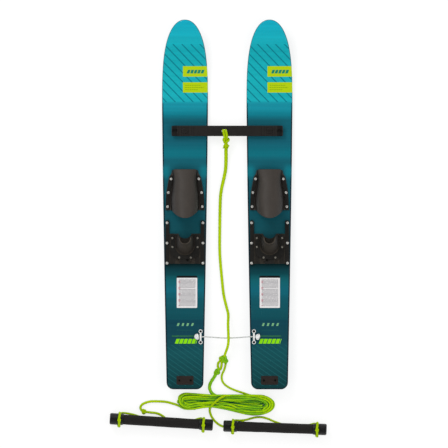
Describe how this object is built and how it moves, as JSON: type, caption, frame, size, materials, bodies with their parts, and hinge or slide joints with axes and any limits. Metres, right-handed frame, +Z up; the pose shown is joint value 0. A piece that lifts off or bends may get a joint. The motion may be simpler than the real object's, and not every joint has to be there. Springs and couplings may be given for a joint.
{
  "type": "water ski pair",
  "caption": "Trainer water skis joined by a tow bar and a tail tie, with slide-adjusted rubber bindings, fins, and a coiled tow line with two padded handles.",
  "frame": {"origin": "on the floor at the middle of the set's bounding box", "axes": "+X to the right seen from above with the tips ahead, +Y from tails to tips, +Z up"},
  "size_m": [0.683, 1.3106, 0.0947],
  "materials": {
    "board_laminate": "glossy printed laminate",
    "insert_brass": "plain turned",
    "fin_plastic": "moulded",
    "plate_plastic": "moulded",
    "screw_steel": "stainless",
    "dark_steel": "blackened",
    "binding_rubber": "satin moulded rubber",
    "clamp_plastic": "moulded, fine texture",
    "bar_plastic": "moulded",
    "saddle_plastic": "white moulded",
    "tube_alloy": "drawn tube",
    "grip_foam": "closed-cell foam",
    "cap_plastic": "moulded",
    "cord_braid": "braided cord",
    "line_braid": "braided polyethylene line"
  },
  "bodies": {
    "left_ski": {"left_board": "board_laminate", "left_brass_inserts": "insert_brass", "left_fin": "fin_plastic", "left_tail_plate": "plate_plastic", "left_fin_screws": "screw_steel", "left_toe_rubber": "binding_rubber", "left_toe_strips": "clamp_plastic", "left_toe_screws": "screw_steel", "left_heel_rails": "clamp_plastic", "left_rail_screws": "screw_steel", "left_lock_rack": "clamp_plastic", "left_bar_post": "bar_plastic", "left_post_cap": "bar_plastic", "left_tie_saddle": "saddle_plastic", "left_saddle_screws": "dark_steel"},
    "left_heel": {"left_heel_plate": "clamp_plastic", "left_heel_cup": "binding_rubber", "left_heel_clamp": "clamp_plastic", "left_clamp_screws": "screw_steel", "left_lock_pin": "screw_steel", "left_lock_spring": "screw_steel"},
    "left_lever": {"left_lock_lever": "clamp_plastic"},
    "right_ski": {"right_board": "board_laminate", "right_brass_inserts": "insert_brass", "right_fin": "fin_plastic", "right_tail_plate": "plate_plastic", "right_fin_screws": "screw_steel", "right_toe_rubber": "binding_rubber", "right_toe_strips": "clamp_plastic", "right_toe_screws": "screw_steel", "right_heel_rails": "clamp_plastic", "right_rail_screws": "screw_steel", "right_lock_rack": "clamp_plastic", "right_bar_post": "bar_plastic", "right_post_cap": "bar_plastic", "right_tie_saddle": "saddle_plastic", "right_saddle_screws": "dark_steel"},
    "right_heel": {"right_heel_plate": "clamp_plastic", "right_heel_cup": "binding_rubber", "right_heel_clamp": "clamp_plastic", "right_clamp_screws": "screw_steel", "right_lock_pin": "screw_steel", "right_lock_spring": "screw_steel"},
    "right_lever": {"right_lock_lever": "clamp_plastic"},
    "bar": {"tow_bar": "bar_plastic"},
    "tie": {"tail_cord": "cord_braid"},
    "loop": {"line_loop": "line_braid"},
    "line": {"tow_line": "line_braid", "line_splice": "line_braid", "rope_coil": "line_braid"},
    "left_rope": {"left_bridle": "line_braid"},
    "left_handle": {"left_handle_core": "tube_alloy", "left_handle_grip": "grip_foam", "left_handle_caps": "cap_plastic"},
    "right_rope": {"right_bridle": "line_braid"},
    "right_handle": {"right_handle_core": "tube_alloy", "right_handle_grip": "grip_foam", "right_handle_caps": "cap_plastic"}
  },
  "joints": [
    {"name": "left_heel_slide", "type": "slide", "parent": "left_ski", "child": "left_heel", "axis": [0, 0.9995, -0.0314], "range_m": [0, 0.045]},
    {"name": "left_lever_lift", "type": "hinge", "parent": "left_heel", "child": "left_lever", "pos_m": [-0.10422, -0.10063, 0.03719], "axis": [-1, 0, 0], "range_deg": [0, 35]},
    {"name": "right_heel_slide", "type": "slide", "parent": "right_ski", "child": "right_heel", "axis": [0, 0.9995, -0.0314], "range_m": [0, 0.045]},
    {"name": "right_lever_lift", "type": "hinge", "parent": "right_heel", "child": "right_lever", "pos_m": [0.16138, -0.10063, 0.03719], "axis": [-1, 0, 0], "range_deg": [0, 35]},
    {"name": "bar_swing", "type": "hinge", "parent": "left_ski", "child": "bar", "pos_m": [-0.10422, 0.30587, 0.02432], "axis": [0, 0.0314, 0.9995], "range_deg": [-6, 6]},
    {"name": "right_ski_swing", "type": "hinge", "parent": "bar", "child": "right_ski", "pos_m": [0.16138, 0.30587, 0.02432], "axis": [0, 0.0314, 0.9995], "range_deg": [-6.1, 6.1]},
    {"name": "tie_swing", "type": "hinge", "parent": "left_ski", "child": "tie", "pos_m": [-0.05522, -0.34099, 0.03889], "axis": [0, 0.0314, 0.9995], "range_deg": [-10, 10]},
    {"name": "loop_swing", "type": "hinge", "parent": "bar", "child": "loop", "pos_m": [0.01958, 0.30601, 0.02882], "axis": [0, 0.0314, 0.9995], "range_deg": [-6.1, 6.1]},
    {"name": "line_lift", "type": "hinge", "parent": "loop", "child": "line", "pos_m": [0.02458, 0.27653, 0.02974], "axis": [-1, 0, 0], "range_deg": [0, 20]},
    {"name": "left_rope_lift", "type": "hinge", "parent": "line", "child": "left_rope", "pos_m": [-0.12942, -0.54449, 0.0042], "axis": [-1, 0, 0], "range_deg": [0, 35]},
    {"name": "right_rope_lift", "type": "hinge", "parent": "line", "child": "right_rope", "pos_m": [-0.02442, -0.56699, 0.0082], "axis": [-1, 0, 0], "range_deg": [0, 35]},
    {"name": "left_handle_roll", "type": "hinge", "parent": "left_rope", "child": "left_handle", "pos_m": [-0.17842, -0.60849, 0.0256], "axis": [0.998, -0.0628, 0], "continuous": true},
    {"name": "right_handle_roll", "type": "hinge", "parent": "right_rope", "child": "right_handle", "pos_m": [0.17858, -0.62699, 0.0274], "axis": [0.9994, -0.0349, 0], "continuous": true}
  ],
  "couplings": [
    {"joint": "right_ski_swing", "follows": "bar_swing", "ratio": -1},
    {"joint": "loop_swing", "follows": "bar_swing", "ratio": -1},
    {"joint": "tie_swing", "follows": "bar_swing", "ratio": 1.5847}
  ]
}
